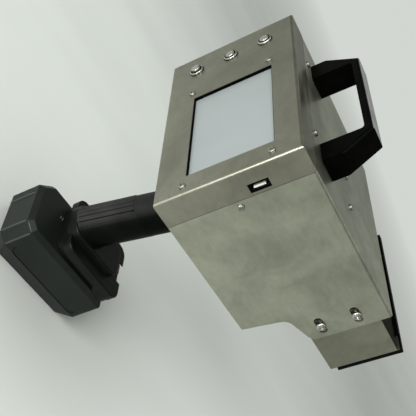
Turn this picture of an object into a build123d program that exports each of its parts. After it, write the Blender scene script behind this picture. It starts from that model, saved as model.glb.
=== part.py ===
from build123d import *
import math
import os

# Hand-held large character inkjet date coder, in millimetres.
# Design axes: X runs from the far side plate (0) to the near one, Y from the screen
# face (0) to the printing end, Z up from the underside of the steel box (0).
# place() shifts everything so that the row's origin is the middle of the footprint.

# ---- driving dimensions of the steel box ----
BOX_W = 185.0
BOX_D = 169.0
BOX_H = 108.0
SHEET = 1.5
BEND = 2.0
COVER_DEPTH = 21.4
SEAM = 0.3
MID_X = BOX_W / 2
INNER_W = BOX_W - SHEET
INNER_H = BOX_H - SHEET

WRAP_SIDE_SCREW = (26.7, 52.1)
WRAP_TOP_SCREWS = [(38.0, 27.0), (134.2, 27.0), (105.2, 92.1), (142.1, 92.1)]
PAN_SCREWS = [(38.0, 27.0), (147.0, 27.0)]
TAB_Y0, TAB_Y1, TAB_HALF = 10.0, 34.0, 8.0

# ---- screen face ----
LCD_X0, LCD_X1 = 66.8, 166.6
LCD_Z0, LCD_Z1 = 24.1, 89.0
PANEL_SCREWS = [(x, z) for x in (58.5, 176.5) for z in (22.0, 87.0)]
BUTTON_X = 24.5
BUTTON_Z = {"power_button": 24.1, "menu_button": 54.6, "print_button": 84.3}
BUTTON_RISE = {"power_button": 4.0, "menu_button": 2.8, "print_button": 2.8}
BUTTON_R = 3.9
BUSHING_R = 4.6
BEZEL_R = 6.0
USB_Y0, USB_Y1 = 12.0, 19.2
USB_Z0, USB_Z1 = 63.5, 78.4
USB_DEPTH = 14.0
USB_WALL, USB_GAP = 0.5, 0.3
GLASS = (64.0, 171.5, 19.0, 94.0)
GASKET_BACK = SHEET + 1.2
GLASS_BACK = GASKET_BACK + 1.5
MODULE_BACK = GLASS_BACK + 4.0
BRACKET_BACK = MODULE_BACK + SHEET
BOARD_Y = 24.0
STANDOFFS = [(x, z) for x in (60.0, 160.0) for z in (21.0, 88.0)]

# ---- ink system ----
TANK = (12.0, 76.0, 66.0, 126.0, SHEET, 62.0)
TANK_WALL = 2.0
FILLER_X, FILLER_Y = 45.0, 96.0
PUMP_X, PUMP_Z, PUMP_R = 128.0, 24.0, 14.0
HOSE_Y, HOSE_R = 104.0, 2.5

# ---- notch under the printing end, and the nozzle shroud ----
WALL_Y = 135.0
WALL_LEAN = math.radians(8.5)
NOTCH_Z = 45.2
PAN_BEND = 11.5
SHROUD_X0, SHROUD_X1 = 49.0, BOX_W - 1.8
SHROUD_Z0 = 43.3
SHROUD_FRONT = 211.0
CHEEK_BACK = 151.0
CHEEK_TOP = 98.4
FRONT_TOP = 100.8
TRIM_T = 3.4
SLOT_Y = 156.0
SLOT_Z = (56.2, 84.5)
SLOT_LENGTH, SLOT_WIDTH = 17.4, 6.6
BULKHEAD_Y = 142.0
HEAD_X0, HEAD_X1 = 60.0, 175.0
HEAD_Z0, HEAD_Z1 = 50.0, 95.0
HEAD_FRONT = 200.0
NOZZLE_X = 117.5
NOZZLE_ROWS = 8
NOZZLE_PITCH = 4.4

# ---- carry handle ----
HANDLE_Y0, HANDLE_Y1 = 34.7, 54.5
HANDLE_HALF, HANDLE_FLAT, SHOULDER_Z = 63.6, 48.5, 123.5
HANDLE_INNER = 44.6
HANDLE_TOP = 146.0
HANDLE_UNDER = 140.0

# ---- pistol grip ----
GRIP_TOP_Y = 77.8
GRIP_LEAN = 0.185
GRIP_X, GRIP_Y = 35.0, 36.0
PAD_RISE, PAD_REACH, PAD_TOP = 0.7, 13.0, -4.0
RIDGE_R, RIDGE_COUNT, RIDGE_STEP = 1.3, 5, math.radians(15)
PAD_NOTCH_R = 3.0
RIM_RISE, RIM_HEIGHT = 1.0, 1.6
CORE_X, CORE_Y = GRIP_X - 5.0, GRIP_Y - 5.0
COLLAR_Z = -57.0
FOOT_TOP = -106.0
TRIGGER_Z0, TRIGGER_Z1 = -34.0, -10.0

# ---- battery foot and battery ----
FOOT_X, FOOT_Y0, FOOT_Y1 = 65.0, 45.0, 117.5
FOOT_CORNER = 10.0
CAP_X, CAP_Y0, CAP_Y1 = 38.0, 42.0, 104.5
RAIL_TOP, RAIL_BOTTOM, FOOT_BOTTOM = -112.0, -120.0, -126.0
SKIRT_Y0 = 96.0
CHANNEL_X, CHANNEL_Y0, CHANNEL_TOP = 44.8, 47.0, -113.6
NOTCH_X, NOTCH_Y0 = 24.0, 104.9
BATTERY_X, BATTERY_Y0, BATTERY_Y1 = 68.0, 12.0, 118.0
REAR_CHAMFER_NEAR, REAR_CHAMFER_FAR = 8.0, 14.0
FRONT_RADIUS = 4.0
BATTERY_TOP = -126.6
BATTERY_SHOULDER = 4.0
BATTERY_SPLIT = -150.5
CHAMFER_Z = -158.0
BASE_NARROWING, REAR_NARROWING = 7.5, 6.5
BATTERY_BOTTOM = -174.0
CASE_WALL = 1.4
TONGUE_X, TONGUE_TOP = 44.0, -114.0
CELL_R, CELL_LENGTH, CELL_COUNT, CELL_Z = 9.15, 65.0, 4, -148.5
LATCH_X, LATCH_Y0, LATCH_Y1, LATCH_TOP = 22.8, 105.2, 112.2, -112.4
RELEASE_X, RELEASE_Y0, RELEASE_Y1 = 11.0, 105.8, 110.2
RELEASE_BOTTOM, RELEASE_TOP = -119.0, -109.4
POCKET_FLOOR = -122.5
POCKET_GAP = 0.3
SCREW_SINK = 2.6
BATTERY_SCREWS = [(MID_X + side * 20, y) for side in (-1, 1) for y in (36.0, 101.5)]

# ---- fasteners ----
M3, M4, M5 = 1.45, 1.95, 2.45
FIT = 0.05
SMALL_HEAD_R, SMALL_HEAD_H = 2.6, 1.6
SLOT_HEAD_R, SLOT_HEAD_H = 3.8, 2.6
HEAD_GAP = 0.1

# ---- row origin: middle of the overall footprint ----
Y_FRONT = SHROUD_FRONT + TRIM_T
Y_BACK = -BUTTON_RISE["power_button"]
ORIGIN_Y = (Y_FRONT + Y_BACK) / 2
ORIGIN_X = (BOX_W + HEAD_GAP + SLOT_HEAD_H - SMALL_HEAD_H) / 2


# ---- helpers ----
def block(x0, x1, y0, y1, z0, z1):
    """Box between two opposite corners."""
    middle = Pos((x0 + x1) / 2, (y0 + y1) / 2, (z0 + z1) / 2)
    return middle * Box(x1 - x0, y1 - y0, z1 - z0)


def rod(start, end, radius):
    """Round bar from one point to another."""
    axis = Vector(*end) - Vector(*start)
    section = Plane(origin=start, z_dir=axis) * Circle(radius)
    return extrude(section, amount=axis.length)


def prism_x(outline, x0, x1):
    """A closed YZ outline carried from x0 to x1."""
    return Pos(x0, 0, 0) * extrude(Plane.YZ * make_face(outline), amount=x1 - x0)


def prism_y(outline, y0, y1):
    """A closed XZ outline carried from y0 to y1."""
    return Pos(0, y1, 0) * extrude(Plane.XZ * make_face(outline), amount=y1 - y0)


def ellipse_bar(x_size, y_size, z_low, z_high):
    """Piece of the grip: an ellipse carried along the grip's leaning axis."""
    low = Pos(MID_X, grip_axis_y(z_low), z_low) * Ellipse(x_size / 2, y_size / 2)
    high = Pos(MID_X, grip_axis_y(z_high), z_high) * Ellipse(x_size / 2, y_size / 2)
    return loft([low, high])


def rounded(solid, axis, radius):
    """Round the edges that run along one axis."""
    return fillet(solid.edges().filter_by(axis), radius)


def both_sides(solid):
    """A solid and its mirror image across the box's middle."""
    twin = mirror(solid, about=Plane.YZ.offset(MID_X))
    return [solid, twin]


def screw(head, direction, shank_length, shank_r, head_r, head_height):
    """Pan-head screw with a cross recess; head is the middle of the head's seat."""
    seat = Plane(origin=head, z_dir=Vector(*direction) * -1)
    cap = extrude(seat * Circle(head_r), amount=head_height)
    crown = cap.edges().filter_by(GeomType.CIRCLE).sort_by(seat_axis(seat))[-1]
    cap = fillet(crown, head_height * 0.6)
    shank = extrude(seat * Circle(shank_r), amount=-shank_length)
    recess_plane = seat.offset(head_height)
    for long, wide in ((head_r * 1.1, head_r * 0.22), (head_r * 0.22, head_r * 1.1)):
        cap -= extrude(recess_plane * Rectangle(long, wide), amount=-head_height * 0.45)
    return cap + shank


def small_screw(head, direction, shank_length):
    """M3 screw of the sheet parts."""
    return screw(head, direction, shank_length, M3, SMALL_HEAD_R, SMALL_HEAD_H)


def seat_axis(plane):
    """Axis that leaves a seat plane along its normal."""
    return Axis(plane.origin, plane.z_dir)


# ---- steel box ----
def make_screen_cover():
    """Tray that carries the display, the buttons and the USB socket."""
    tray = block(0, BOX_W, 0, COVER_DEPTH, 0, BOX_H)
    tray = fillet(tray.faces().sort_by(Axis.Y)[0].edges(), BEND)
    tray -= block(SHEET, INNER_W, SHEET, COVER_DEPTH + 1, SHEET, INNER_H)
    opening = block(LCD_X0, LCD_X1, -1, SHEET + 1, LCD_Z0, LCD_Z1)
    tray -= rounded(opening, Axis.Y, 0.8)
    for x, z in PANEL_SCREWS:
        tray -= rod((x, -1, z), (x, SHEET + 1, z), M3 + FIT)
    for z in BUTTON_Z.values():
        tray -= rod((BUTTON_X, -1, z), (BUTTON_X, SHEET + 1, z), BUSHING_R + FIT)
    tray -= block(INNER_W - 1, BOX_W + 1, USB_Y0, USB_Y1, USB_Z0, USB_Z1)
    return tray


def make_cover_tabs():
    """Tabs spot welded inside the cover's flanges, tapped for the wrap's screws."""
    side_y, side_z = WRAP_SIDE_SCREW
    side = block(SHEET, 2 * SHEET, TAB_Y0, TAB_Y1, side_z - TAB_HALF, side_z + TAB_HALF)
    side -= rod((0, side_y, side_z), (2 * SHEET + 1, side_y, side_z), M3 + FIT)
    tabs = both_sides(side)
    for x, y in WRAP_TOP_SCREWS[:2]:
        tab = block(x - TAB_HALF, x + TAB_HALF, TAB_Y0, TAB_Y1, INNER_H - SHEET, INNER_H)
        tabs.append(tab - rod((x, y, INNER_H - 3), (x, y, BOX_H), M3 + FIT))
    for x, y in PAN_SCREWS:
        tab = block(x - TAB_HALF, x + TAB_HALF, TAB_Y0, TAB_Y1, SHEET, 2 * SHEET)
        tabs.append(tab - rod((x, y, 0), (x, y, 3 * SHEET), M3 + FIT))
    return tabs


def notch_cut():
    """Everything in front of the side plates' notched lower corner."""
    lean = (math.sin(WALL_LEAN), math.cos(WALL_LEAN))
    below = (WALL_Y - lean[0] * 2, -lean[1] * 2)
    bend_start = (WALL_Y + lean[0] * 30, lean[1] * 30)
    wall = Line(below, bend_start)
    bend = JernArc(start=bend_start, tangent=lean, radius=9.5, arc_size=-68)
    shelf = Line(bend @ 1, (163.0, 42.4))
    nose = TangentArc(shelf @ 1, (BOX_D, 47.5), tangent=shelf % 1)
    outside = Polyline(nose @ 1, (BOX_D + 2, 47.5), (BOX_D + 2, below[1]), below)
    return prism_x([wall, bend, shelf, nose, outside], -1, BOX_W + 1)


def make_body_wrap():
    """Near side, top and far side, folded from one sheet."""
    start = COVER_DEPTH + SEAM
    wrap = block(0, BOX_W, start, BOX_D, 0, BOX_H)
    top_edges = wrap.faces().sort_by(Axis.Z)[-1].edges().filter_by(Axis.Y)
    wrap = fillet(top_edges, BEND)
    wrap -= block(SHEET, INNER_W, start - 1, BOX_D + 1, -1, INNER_H)
    wrap -= notch_cut()
    side_y, side_z = WRAP_SIDE_SCREW
    wrap -= rod((-1, side_y, side_z), (BOX_W + 1, side_y, side_z), M3 + FIT)
    for x, y in WRAP_TOP_SCREWS:
        wrap -= rod((x, y, INNER_H - 1), (x, y, BOX_H + 1), M3 + FIT)
    for x in handle_screw_x():
        y = (HANDLE_Y0 + HANDLE_Y1) / 2
        wrap -= rod((x, y, INNER_H - 1), (x, y, BOX_H + 1), M5 + FIT)
    for z in SLOT_Z:
        slot = Plane(origin=(INNER_W - 1, SLOT_Y, z), x_dir=(0, 1, 0), z_dir=(1, 0, 0))
        wrap -= extrude(slot * SlotOverall(SLOT_LENGTH, SLOT_WIDTH), amount=SHEET + 2)
    return wrap


def pan_outline(lift):
    """The bottom pan's path, lifted inwards from its outer face."""
    lean = (math.sin(WALL_LEAN), math.cos(WALL_LEAN))
    corner = (WALL_Y - lift * (1 - lean[0]) / lean[1], lift)
    bend_rise = NOTCH_Z - PAN_BEND * (1 - lean[0])
    run = bend_rise / lean[1]
    bend_start = (WALL_Y + lean[0] * run - lift * lean[1], bend_rise + lift * lean[0])
    turn = -math.degrees(math.pi / 2 - WALL_LEAN)
    floor = Line((COVER_DEPTH + SEAM, lift), corner)
    wall = Line(corner, bend_start)
    bend = JernArc(start=bend_start, tangent=lean, radius=PAN_BEND + lift, arc_size=turn)
    shelf = Line(bend @ 1, (BOX_D - 2.5, NOTCH_Z + lift))
    return [floor, wall, bend, shelf]


def make_bottom_pan():
    """Bottom, slanted front wall and notch wall, folded from one sheet."""
    outer = pan_outline(0)
    inner = pan_outline(SHEET)
    ends = [Line(outer[0] @ 0, inner[0] @ 0), Line(outer[-1] @ 1, inner[-1] @ 1)]
    pan = prism_x(outer + inner + ends, SHEET, INNER_W)
    slit_y0 = BULKHEAD_Y + 2
    pan -= block(SHROUD_X0 - SEAM, SHROUD_X0 + SHEET + SEAM, slit_y0, BOX_D, 36, NOTCH_Z + 3)
    pan -= block(SHROUD_X1 - SHEET - SEAM, BOX_W, slit_y0, BOX_D, 36, NOTCH_Z + 3)
    for x, y in PAN_SCREWS:
        pan -= rod((x, y, -1), (x, y, SHEET + 1), M3 + FIT)
    for x, y in grip_screw_places():
        pan -= rod((x, y, -1), (x, y, SHEET + 1), M4 + FIT)
    pan -= rod((MID_X, GRIP_TOP_Y, -1), (MID_X, GRIP_TOP_Y, SHEET + 1), 6)
    return pan


def make_front_bulkhead():
    """Inner wall that carries the print head, hung from the top by a long flange."""
    wall = block(SHEET, INNER_W, BULKHEAD_Y, BULKHEAD_Y + SHEET, NOTCH_Z, INNER_H)
    wall -= block(100, 135, BULKHEAD_Y - 1, BULKHEAD_Y + SHEET + 1, 54, 91)
    flange = block(85, 162, 84, BULKHEAD_Y, INNER_H - SHEET, INNER_H)
    for x, y in WRAP_TOP_SCREWS[2:]:
        flange -= rod((x, y, INNER_H - 3), (x, y, BOX_H), M3 + FIT)
    for x, z in head_screw_places():
        wall -= rod((x, BULKHEAD_Y - 1, z), (x, BULKHEAD_Y + 3, z), M4 + FIT)
    return wall + flange


def make_shroud_guide():
    """Inner wall beside the shroud's far cheek, with a flange that closes the front."""
    face = SHROUD_X0 - SEAM
    low = NOTCH_Z + SHEET
    plate = block(face - SHEET, face, BULKHEAD_Y + SHEET, BOX_D - 1, low, INNER_H)
    front = block(SHEET, face, BOX_D - 1 - SHEET, BOX_D - 1, low, INNER_H)
    guide = plate + front
    for z in SLOT_Z:
        slot = Plane(origin=(face - SHEET - 1, SLOT_Y, z), x_dir=(0, 1, 0), z_dir=(1, 0, 0))
        guide -= extrude(slot * SlotOverall(SLOT_LENGTH, SLOT_WIDTH), amount=SHEET + 2)
    return guide


def make_panel_screws():
    """Four screws from the screen face into the display bracket's posts."""
    return [small_screw((x, 0, z), (0, 1, 0), 8) for x, z in PANEL_SCREWS]


def make_wrap_screws():
    """Side, top and bottom screws of the folded body."""
    side_y, side_z = WRAP_SIDE_SCREW
    places = [((x, y, BOX_H), (0, 0, -1)) for x, y in WRAP_TOP_SCREWS]
    places += [((x, y, 0), (0, 0, 1)) for x, y in PAN_SCREWS]
    screws = both_sides(small_screw((BOX_W, side_y, side_z), (-1, 0, 0), 5))
    return screws + [small_screw(seat, direction, 5) for seat, direction in places]


# ---- display and controls ----
def make_lcd_gasket():
    """Foam frame between the cover and the touch glass."""
    x0, x1, z0, z1 = GLASS
    frame = block(x0, x1, SHEET, GASKET_BACK, z0, z1)
    window = block(LCD_X0, LCD_X1, 0, GASKET_BACK + 1, LCD_Z0, LCD_Z1)
    return frame - offset(window, 0.5, kind=Kind.INTERSECTION)


def make_touch_glass():
    x0, x1, z0, z1 = GLASS
    return block(x0, x1, GASKET_BACK, GLASS_BACK, z0, z1)


def make_lcd_module():
    """Display module, a little smaller than its glass."""
    x0, x1, z0, z1 = GLASS
    return block(x0 + 1, x1 - 1, GLASS_BACK, MODULE_BACK, z0 + 3.5, z1 - 3.5)


def make_lcd_bracket():
    """Plate behind the display with four tapped posts up to the cover."""
    plate = block(54, 180.5, MODULE_BACK, BRACKET_BACK, 17.5, 92)
    plate -= block(85, 150, MODULE_BACK - 1, BRACKET_BACK + 1, 40, 72)
    for x, z in PANEL_SCREWS:
        post = rod((x, SHEET, z), (x, MODULE_BACK, z), 2.9)
        plate += post
        plate -= rod((x, 0, z), (x, BRACKET_BACK + 1, z), M3 + FIT)
    return plate


def make_button_bezels():
    """Chromed ring and threaded bushing of each push button."""
    bezels = []
    for z in BUTTON_Z.values():
        ring = rod((BUTTON_X, -1.8, z), (BUTTON_X, 0, z), BEZEL_R)
        ring = fillet(ring.edges().filter_by(GeomType.CIRCLE).sort_by(Axis.Y)[0], 1.0)
        bushing = rod((BUTTON_X, 0, z), (BUTTON_X, 9, z), BUSHING_R)
        bore = rod((BUTTON_X, -3, z), (BUTTON_X, 10, z), BUTTON_R + FIT)
        bezels.append(ring + bushing - bore)
    return bezels


def make_button_cap(name):
    """Push button cap with a slightly domed face."""
    z = BUTTON_Z[name]
    cap = rod((BUTTON_X, -BUTTON_RISE[name], z), (BUTTON_X, 6.5, z), BUTTON_R)
    return fillet(cap.edges().filter_by(GeomType.CIRCLE).sort_by(Axis.Y)[0], 0.9)


def make_button_bodies():
    """Switch block behind each bushing, with two solder pins."""
    bodies = []
    for z in BUTTON_Z.values():
        body = block(BUTTON_X - 6, BUTTON_X + 6, 9, 18, z - 6, z + 6)
        for side in (-3, 3):
            body += rod((BUTTON_X + side, 18, z), (BUTTON_X + side, 22, z), 0.5)
        bodies.append(body)
    return bodies


def make_button_nuts():
    """Hexagon nut that clamps each bushing to the cover."""
    nuts = []
    for z in BUTTON_Z.values():
        seat = Plane(origin=(BUTTON_X, SHEET, z), z_dir=(0, 1, 0))
        nut = extrude(seat * RegularPolygon(7.0, 6), amount=2.5)
        nuts.append(nut - rod((BUTTON_X, 0, z), (BUTTON_X, 6, z), BUSHING_R))
    return nuts


def make_usb_shell():
    """Sheet shell of the USB socket, open towards the near side plate."""
    x0, x1 = BOX_W - USB_DEPTH - 1, BOX_W - 0.4
    y0, y1 = USB_Y0 + USB_GAP, USB_Y1 - USB_GAP
    z0, z1 = USB_Z0 + USB_GAP, USB_Z1 - USB_GAP
    shell = block(x0, x1, y0, y1, z0, z1)
    wall = USB_WALL
    return shell - block(x0 + wall, x1 + 1, y0 + wall, y1 - wall, z0 + wall, z1 - wall)


def make_usb_tongue():
    """Insulating tongue with its contacts' side towards the screen."""
    x0 = BOX_W - USB_DEPTH - 1 + USB_WALL
    y1 = USB_Y1 - USB_GAP - USB_WALL
    return block(x0, BOX_W - 5, y1 - 3.0, y1 - 1.2, USB_Z0 + 2.4, USB_Z1 - 2.4)


def make_usb_board():
    """Small board that the USB socket stands on, held by the display bracket."""
    x1 = BOX_W - USB_DEPTH - 1
    return block(x1 - 1.6, x1, BRACKET_BACK, BRACKET_BACK + 12, USB_Z0 - 3, USB_Z1 + 3)


def make_control_board():
    board = block(54, 166, BOARD_Y, BOARD_Y + 1.6, 16, 93)
    for x, z in STANDOFFS:
        board -= rod((x, BOARD_Y - 1, z), (x, BOARD_Y + 3, z), M3 + FIT)
    return board


def make_board_standoffs():
    """Hexagon posts from the display bracket to the control board."""
    posts = []
    for x, z in STANDOFFS:
        seat = Plane(origin=(x, BRACKET_BACK, z), z_dir=(0, 1, 0))
        post = extrude(seat * RegularPolygon(2.8, 6), amount=BOARD_Y - BRACKET_BACK)
        posts.append(post + rod((x, BOARD_Y, z), (x, BOARD_Y + 3, z), M3))
    return posts


def make_board_parts():
    """Processor, driver chips and plug headers on the control board."""
    y = BOARD_Y + 1.6
    parts = [block(98, 118, y, y + 2, 46, 66)]
    parts += [block(70 + 9 * i, 76 + 9 * i, y, y + 1.6, 24, 34) for i in range(8)]
    parts += [block(66 + 26 * i, 86 + 26 * i, y, y + 8, 80, 86) for i in range(3)]
    return parts


# ---- ink system ----
def make_ink_tank():
    """Moulded tank with a filler neck and a side outlet."""
    x0, x1, y0, y1, z0, z1 = TANK
    wall = TANK_WALL
    tank = rounded(block(*TANK), Axis.Z, 6)
    tank += rod((FILLER_X, FILLER_Y, z1), (FILLER_X, FILLER_Y, z1 + 8), 9)
    hollow = block(x0 + wall, x1 - wall, y0 + wall, y1 - wall, z0 + wall, z1 - wall)
    tank -= rounded(hollow, Axis.Z, 4)
    tank -= rod((FILLER_X, FILLER_Y, z1 - 3), (FILLER_X, FILLER_Y, z1 + 9), 7)
    return tank + rod((x1, HOSE_Y, PUMP_Z), (x1 + 6, HOSE_Y, PUMP_Z), HOSE_R)


def make_ink_tank_cap():
    z = TANK[5]
    cap = rod((FILLER_X, FILLER_Y, z + 2), (FILLER_X, FILLER_Y, z + 12), 11)
    return cap - rod((FILLER_X, FILLER_Y, z + 1), (FILLER_X, FILLER_Y, z + 8), 9)


def make_ink_pump():
    """Diaphragm pump: round motor and square head."""
    motor = rod((PUMP_X, 56, PUMP_Z), (PUMP_X, 92, PUMP_Z), PUMP_R)
    head = block(PUMP_X - 16, PUMP_X + 16, 92, 116, PUMP_Z - 16, PUMP_Z + 16)
    return motor + rounded(head, Axis.Y, 3)


def make_pump_bracket():
    """Saddle that ties the pump's motor to the bottom pan."""
    saddle = block(PUMP_X - 20, PUMP_X + 20, 62, 84, SHEET, PUMP_Z)
    return saddle - rod((PUMP_X, 61, PUMP_Z), (PUMP_X, 85, PUMP_Z), PUMP_R)


def tube(points, radii, radius):
    """Round tube along straight runs joined by tangent arcs."""
    path = FilletPolyline(*points, radius=radii)
    section = Plane(origin=path @ 0, z_dir=path % 0) * Circle(radius)
    return sweep(section, path=path)


def make_suction_tube():
    """Tube from the tank's outlet to the pump head."""
    return rod((TANK[1] + 6, HOSE_Y, PUMP_Z), (PUMP_X - 16, HOSE_Y, PUMP_Z), HOSE_R)


def make_pressure_tube():
    """Tube from the pump head up and through the bulkhead to the manifold."""
    outlet = (PUMP_X, HOSE_Y, PUMP_Z + 16)
    points = [outlet, (PUMP_X, HOSE_Y, 72), (NOZZLE_X, 122, 80), (NOZZLE_X, 150, 80)]
    return tube(points, [11.0, 9.0], HOSE_R)


def make_ink_manifold():
    """Block behind the valves that shares the ink out."""
    return block(102, 133, 150, 165, 55, 90)


def make_head_housing():
    """Black moulded housing of the print head, closed at the back by the bulkhead."""
    back = BULKHEAD_Y + SHEET
    housing = block(HEAD_X0, HEAD_X1, back, HEAD_FRONT, HEAD_Z0, HEAD_Z1)
    housing = rounded(housing, Axis.Y, 3)
    housing -= block(HEAD_X0 + 3, HEAD_X1 - 3, back - 1, HEAD_FRONT - 3, HEAD_Z0 + 3, HEAD_Z1 - 3)
    housing -= block(104, 131, HEAD_FRONT - 4, HEAD_FRONT + 1, 53.5, 91.5)
    for x, z in head_screw_places():
        boss = rod((x, back, z), (x, back + 12, z), 4.5)
        housing += boss
        housing -= rod((x, back - 1, z), (x, back + 10, z), M4 + FIT)
    return housing


def head_screw_places():
    """Where the head is bolted to the bulkhead."""
    return [(x, z) for x in (66.5, 168.5) for z in (57.0, 88.0)]


def make_nozzle_plate():
    """Front plate with two staggered columns of nozzle holes."""
    plate = rounded(block(98, 137, HEAD_FRONT, HEAD_FRONT + 2, 52, 93), Axis.Y, 2)
    for x, z in nozzle_places():
        plate -= rod((x, HEAD_FRONT - 1, z), (x, HEAD_FRONT + 3, z), 0.6)
    return plate


def nozzle_places():
    """Centres of the nozzles and of the valves behind them."""
    low = 72.5 - NOZZLE_PITCH * (NOZZLE_ROWS - 0.5) / 2
    columns = ((NOZZLE_X - 4, 0), (NOZZLE_X + 4, NOZZLE_PITCH / 2))
    return [(x, low + step + NOZZLE_PITCH * i) for x, step in columns for i in range(NOZZLE_ROWS)]


def make_valve_bank():
    """One slim solenoid valve behind every nozzle."""
    return [rod((x, 165, z), (x, HEAD_FRONT, z), 1.9) for x, z in nozzle_places()]


def make_head_screws():
    return [screw((x, BULKHEAD_Y, z), (0, 1, 0), 10, M4, 3.6, 2.4) for x, z in head_screw_places()]


# ---- nozzle shroud ----
def make_nozzle_shroud():
    """Sheet scoop in front of the head: bottom, two cheeks and a windowed front."""
    inner_x0, inner_x1 = SHROUD_X0 + SHEET, SHROUD_X1 - SHEET
    shroud = block(SHROUD_X0, SHROUD_X1, CHEEK_BACK, SHROUD_FRONT, SHROUD_Z0, FRONT_TOP)
    front = shroud.faces().sort_by(Axis.Y)[-1].edges().sort_by(Axis.Z)
    shroud = fillet(front[:3], BEND)
    inside_top = FRONT_TOP + 1
    front_back = SHROUD_FRONT - SHEET
    shroud -= block(inner_x0, inner_x1, CHEEK_BACK - 1, front_back, SHROUD_Z0 + SHEET, inside_top)
    shroud -= block(SHROUD_X0 - 1, SHROUD_X1 + 1, CHEEK_BACK - 1, front_back, CHEEK_TOP, inside_top)
    shroud -= block(inner_x0, inner_x1, CHEEK_BACK - 1, 157.5, SHROUD_Z0 - 1, SHROUD_Z0 + SHEET + 1)
    shroud -= block(72, 163, SHROUD_FRONT - 3, SHROUD_FRONT + 1, 54, 92)
    for z in SLOT_Z:
        shroud -= rod((SHROUD_X0 - 1, SLOT_Y, z), (SHROUD_X1 + 1, SLOT_Y, z), M4 + FIT)
    return shroud


def make_slot_screws():
    """Clamp screws that ride in the slots with the shroud."""
    near = BOX_W + HEAD_GAP
    far = SHROUD_X0 - SEAM - SHEET - HEAD_GAP
    screws = [screw((near, SLOT_Y, z), (-1, 0, 0), 8, M4, SLOT_HEAD_R, SLOT_HEAD_H) for z in SLOT_Z]
    screws += [screw((far, SLOT_Y, z), (1, 0, 0), 8, M4, SLOT_HEAD_R, SLOT_HEAD_H) for z in SLOT_Z]
    return screws


def make_slot_nuts():
    """Nuts pressed to the inside of both cheeks."""
    nuts = []
    for z in SLOT_Z:
        for x in (SHROUD_X0 + SHEET, SHROUD_X1 - SHEET - 3):
            seat = Plane(origin=(x, SLOT_Y, z), z_dir=(1, 0, 0))
            nut = extrude(seat * RegularPolygon(4.0, 6), amount=3)
            nuts.append(nut - rod((x - 1, SLOT_Y, z), (x + 4, SLOT_Y, z), M4 + FIT))
    return nuts


def make_face_trim():
    """Rubber face of the shroud, folded over the front plate's top edge."""
    x0, x1 = SHROUD_X0, SHROUD_X1
    top = FRONT_TOP + SHEET
    face = block(x0, x1, SHROUD_FRONT, Y_FRONT, 48.5, top)
    face = fillet(face.faces().sort_by(Axis.Y)[-1].edges(), 1.2)
    face -= block(66, 169, SHROUD_FRONT - 1, Y_FRONT + 1, 57, 90)
    cap = block(x0, x1, SHROUD_FRONT - SHEET, SHROUD_FRONT, FRONT_TOP, top)
    lip = block(x0, x1 - 14, SHROUD_FRONT - 2 * SHEET, SHROUD_FRONT - SHEET, CHEEK_TOP + 0.4, top)
    return face + cap + lip


# ---- carry handle ----
def handle_screw_x():
    """X of the two screws that hold the handle's arms."""
    offset = (HANDLE_HALF + HANDLE_INNER) / 2
    return (MID_X - offset, MID_X + offset)


def make_carry_handle():
    """Bridge handle: two arms and a bar with slanted shoulders."""
    left, right = MID_X - HANDLE_HALF, MID_X + HANDLE_HALF
    outline = Polyline(
        (left, BOX_H),
        (left, SHOULDER_Z),
        (MID_X - HANDLE_FLAT, HANDLE_TOP),
        (MID_X + HANDLE_FLAT, HANDLE_TOP),
        (right, SHOULDER_Z),
        (right, BOX_H),
        close=True,
    )
    handle = prism_y(outline, HANDLE_Y0, HANDLE_Y1)
    outer_faces = handle.faces().filter_by(lambda face: face.normal_at().Z > 0.3)
    rim = outer_faces.edges().filter_by(lambda edge: abs((edge % 0.5).Y) < 0.1)
    handle = fillet(rim, 2.6)
    inner = (MID_X - HANDLE_INNER, MID_X + HANDLE_INNER)
    gap = block(*inner, HANDLE_Y0 - 1, HANDLE_Y1 + 1, BOX_H - 1, HANDLE_UNDER)
    upper = gap.edges().filter_by(Axis.Y).sort_by(Axis.Z)[-2:]
    handle -= fillet(upper, 3)
    y = (HANDLE_Y0 + HANDLE_Y1) / 2
    for x in handle_screw_x():
        handle -= rod((x, y, BOX_H - 1), (x, y, BOX_H + 15), M5 + FIT)
    return handle


def make_handle_screws():
    """Screws driven from inside the box up into the handle's arms."""
    y = (HANDLE_Y0 + HANDLE_Y1) / 2
    return [screw((x, y, INNER_H), (0, 0, 1), 15, M5, 4.4, 3.0) for x in handle_screw_x()]


# ---- pistol grip ----
def grip_screw_places():
    """Where the grip is bolted to the pan from inside the box."""
    return [(MID_X - 11, GRIP_TOP_Y), (MID_X + 11, GRIP_TOP_Y)]


def trigger_pocket(gap):
    """Space that the trigger slides in, with a side gap."""
    return block(MID_X - 7 - gap, MID_X + 7 + gap, 69, 112, TRIGGER_Z0 - gap, TRIGGER_Z1 + gap)


def make_grip_core():
    """Hard core of the grip with its wire channel, before it is halved."""
    core = ellipse_bar(CORE_X, CORE_Y, FOOT_TOP, 0)
    core -= ellipse_bar(12, 16, FOOT_TOP - 1, 1)
    core -= trigger_pocket(0.3)
    core -= block(MID_X - 5.3, MID_X + 5.3, 64.2, 70, TRIGGER_Z0 + 5.7, TRIGGER_Z1 - 5.7)
    for x, y in grip_screw_places():
        core -= rod((x, y, -9), (x, y, 1), M4 + FIT)
    return core


def make_grip_half(near):
    """One half of the core, split along the grip's middle."""
    x0, x1 = (MID_X, MID_X + 40) if near else (MID_X - 40, MID_X)
    return make_grip_core() & block(x0, x1, 0, 150, FOOT_TOP - 5, 5)


def grip_axis_y(z):
    """Y of the grip's leaning axis at one height."""
    return GRIP_TOP_Y + GRIP_LEAN * z


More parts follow.
